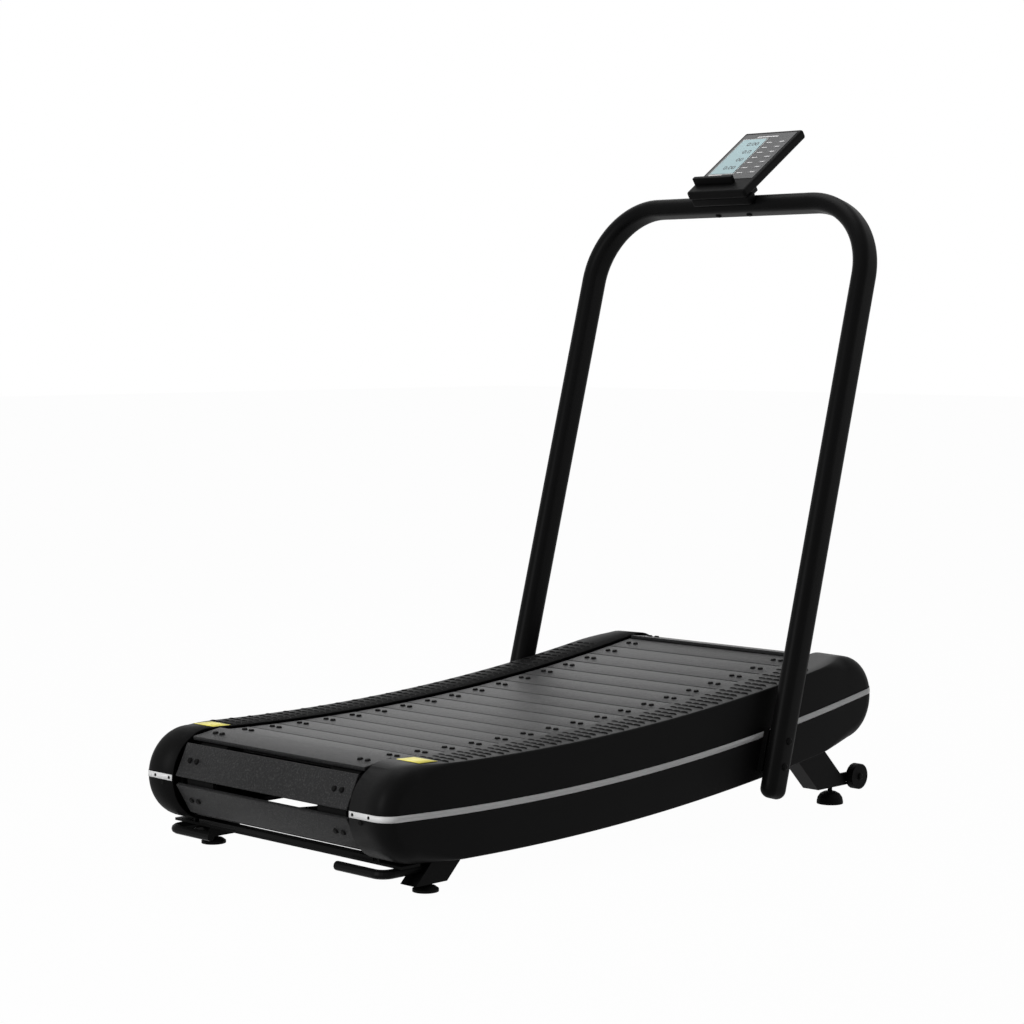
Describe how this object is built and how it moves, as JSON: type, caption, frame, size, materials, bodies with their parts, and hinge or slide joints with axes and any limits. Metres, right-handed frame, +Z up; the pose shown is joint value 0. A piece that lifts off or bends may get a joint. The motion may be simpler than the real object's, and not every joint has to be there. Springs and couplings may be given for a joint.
{
  "type": "curved manual treadmill",
  "caption": "Curved manual treadmill: a slatted endless belt on a concave deck between side covers, with a leaning U-shaped handle and a tilted console.",
  "frame": {"origin": "on the floor under the middle of the machine's box", "axes": "+X to the runner's right, +Y the way the runner faces, +Z up"},
  "size_m": [0.8366, 1.553, 1.4918],
  "materials": {
    "black_plastic": "fine grain",
    "black_paint": "satin powder coat",
    "rubber": "matt",
    "steel": "brushed",
    "black_bolt": "black oxide",
    "display_glass": "clear window over a grey display",
    "key_rubber": "satin"
  },
  "bodies": {
    "frame": {"battery_cover": "black_plastic", "console_bolt_left": "black_bolt", "console_bolt_right": "black_bolt", "console_housing": "black_plastic", "console_mount": "black_plastic", "cover_left": "black_plastic", "cover_right": "black_plastic", "cross_tube_1": "black_paint", "cross_tube_2": "black_paint", "display": "display_glass", "front_bearing_right": "steel", "front_leg_left": "black_paint", "front_leg_right": "black_paint", "handle_bolt_left_1": "black_bolt", "handle_bolt_left_2": "black_bolt", "handle_bolt_right_1": "black_bolt", "handle_bolt_right_2": "black_bolt", "handle_cap_left": "black_plastic", "handle_cap_right": "black_plastic", "handlebar": "black_paint", "lifting_rod_left": "black_paint", "lifting_rod_right": "black_paint", "one_way_bearing": "steel", "phone_ledge": "black_plastic", "rear_bearing_left": "steel", "rear_bearing_right": "steel", "rear_cross_bar": "black_paint", "rear_leg_left": "black_paint", "rear_leg_right": "black_paint", "roller_rail_left": "black_plastic", "roller_rail_right": "black_plastic", "side_frame_left": "black_paint", "side_frame_right": "black_paint", "speed_sensor": "black_plastic", "wheel_bolt_left": "black_bolt", "wheel_bolt_right": "black_bolt"},
    "belt_top": {"belt_top_run": "rubber"},
    "belt_bottom": {"belt_bottom_run": "rubber"},
    "rear_drive": {"rear_shaft": "steel", "rear_pulley_left": "black_plastic", "rear_pulley_right": "black_plastic", "belt_rear_wrap": "rubber"},
    "front_drive": {"front_shaft": "steel", "front_pulley_left": "black_plastic", "front_pulley_right": "black_plastic", "belt_front_wrap": "rubber"},
    "front_left_foot": {"front_foot_left": "rubber"},
    "front_right_foot": {"front_foot_right": "rubber"},
    "rear_left_foot": {"rear_foot_left": "rubber"},
    "rear_right_foot": {"rear_foot_right": "rubber"},
    "wheel_left": {"transport_wheel_left": "rubber"},
    "wheel_right": {"transport_wheel_right": "rubber"},
    "key_1": {"key_1": "key_rubber"},
    "key_2": {"key_2": "key_rubber"},
    "key_3": {"key_3": "key_rubber"},
    "key_4": {"key_4": "key_rubber"},
    "key_5": {"key_5": "key_rubber"},
    "key_6": {"key_6": "key_rubber"},
    "key_7": {"key_7": "key_rubber"}
  },
  "joints": [
    {"name": "belt_travel", "type": "hinge", "parent": "frame", "child": "belt_top", "pos_m": [0, -0.43202, 6.307], "axis": [-1, 0, 0], "range_deg": [0, 0.1413]},
    {"name": "belt_return", "type": "hinge", "parent": "frame", "child": "belt_bottom", "pos_m": [0, -0.22731, 3.04846], "axis": [1, 0, 0], "range_deg": [0, 0.2893]},
    {"name": "rear_shaft_spin", "type": "hinge", "parent": "frame", "child": "rear_drive", "pos_m": [0, -0.68437, 0.15788], "axis": [1, 0, 0], "range_deg": [0, 11.81]},
    {"name": "front_shaft_spin", "type": "hinge", "parent": "frame", "child": "front_drive", "pos_m": [0, 0.58792, 0.2378], "axis": [1, 0, 0], "range_deg": [0, 11.81]},
    {"name": "front_left_foot_turn", "type": "hinge", "parent": "frame", "child": "front_left_foot", "pos_m": [-0.3137, 0.58792, 0], "axis": [0, 0, 1], "continuous": true},
    {"name": "front_right_foot_turn", "type": "hinge", "parent": "frame", "child": "front_right_foot", "pos_m": [0.3137, 0.58792, 0], "axis": [0, 0, 1], "continuous": true},
    {"name": "rear_left_foot_turn", "type": "hinge", "parent": "frame", "child": "rear_left_foot", "pos_m": [-0.3137, -0.63337, 0], "axis": [0, 0, 1], "continuous": true},
    {"name": "rear_right_foot_turn", "type": "hinge", "parent": "frame", "child": "rear_right_foot", "pos_m": [0.3137, -0.63337, 0], "axis": [0, 0, 1], "continuous": true},
    {"name": "wheel_left_spin", "type": "hinge", "parent": "frame", "child": "wheel_left", "pos_m": [-0.341, 0.64792, 0.056], "axis": [1, 0, 0], "continuous": true},
    {"name": "wheel_right_spin", "type": "hinge", "parent": "frame", "child": "wheel_right", "pos_m": [0.341, 0.64792, 0.056], "axis": [1, 0, 0], "continuous": true},
    {"name": "key_1_press", "type": "slide", "parent": "frame", "child": "key_1", "axis": [0, 0.5664, -0.8241], "range_m": [0, 0.001], "stiffness_N_per_m": 400, "springref_m": -0.0005},
    {"name": "key_2_press", "type": "slide", "parent": "frame", "child": "key_2", "axis": [0, 0.5664, -0.8241], "range_m": [0, 0.001], "stiffness_N_per_m": 400, "springref_m": -0.0005},
    {"name": "key_3_press", "type": "slide", "parent": "frame", "child": "key_3", "axis": [0, 0.5664, -0.8241], "range_m": [0, 0.001], "stiffness_N_per_m": 400, "springref_m": -0.0005},
    {"name": "key_4_press", "type": "slide", "parent": "frame", "child": "key_4", "axis": [0, 0.5664, -0.8241], "range_m": [0, 0.001], "stiffness_N_per_m": 400, "springref_m": -0.0005},
    {"name": "key_5_press", "type": "slide", "parent": "frame", "child": "key_5", "axis": [0, 0.5664, -0.8241], "range_m": [0, 0.001], "stiffness_N_per_m": 400, "springref_m": -0.0005},
    {"name": "key_6_press", "type": "slide", "parent": "frame", "child": "key_6", "axis": [0, 0.5664, -0.8241], "range_m": [0, 0.001], "stiffness_N_per_m": 400, "springref_m": -0.0005},
    {"name": "key_7_press", "type": "slide", "parent": "frame", "child": "key_7", "axis": [0, 0.5664, -0.8241], "range_m": [0, 0.001], "stiffness_N_per_m": 400, "springref_m": -0.0005}
  ],
  "couplings": [
    {"joint": "belt_return", "follows": "belt_travel", "ratio": 2.0269},
    {"joint": "rear_shaft_spin", "follows": "belt_travel", "ratio": 82.732},
    {"joint": "front_shaft_spin", "follows": "belt_travel", "ratio": 82.732}
  ]
}
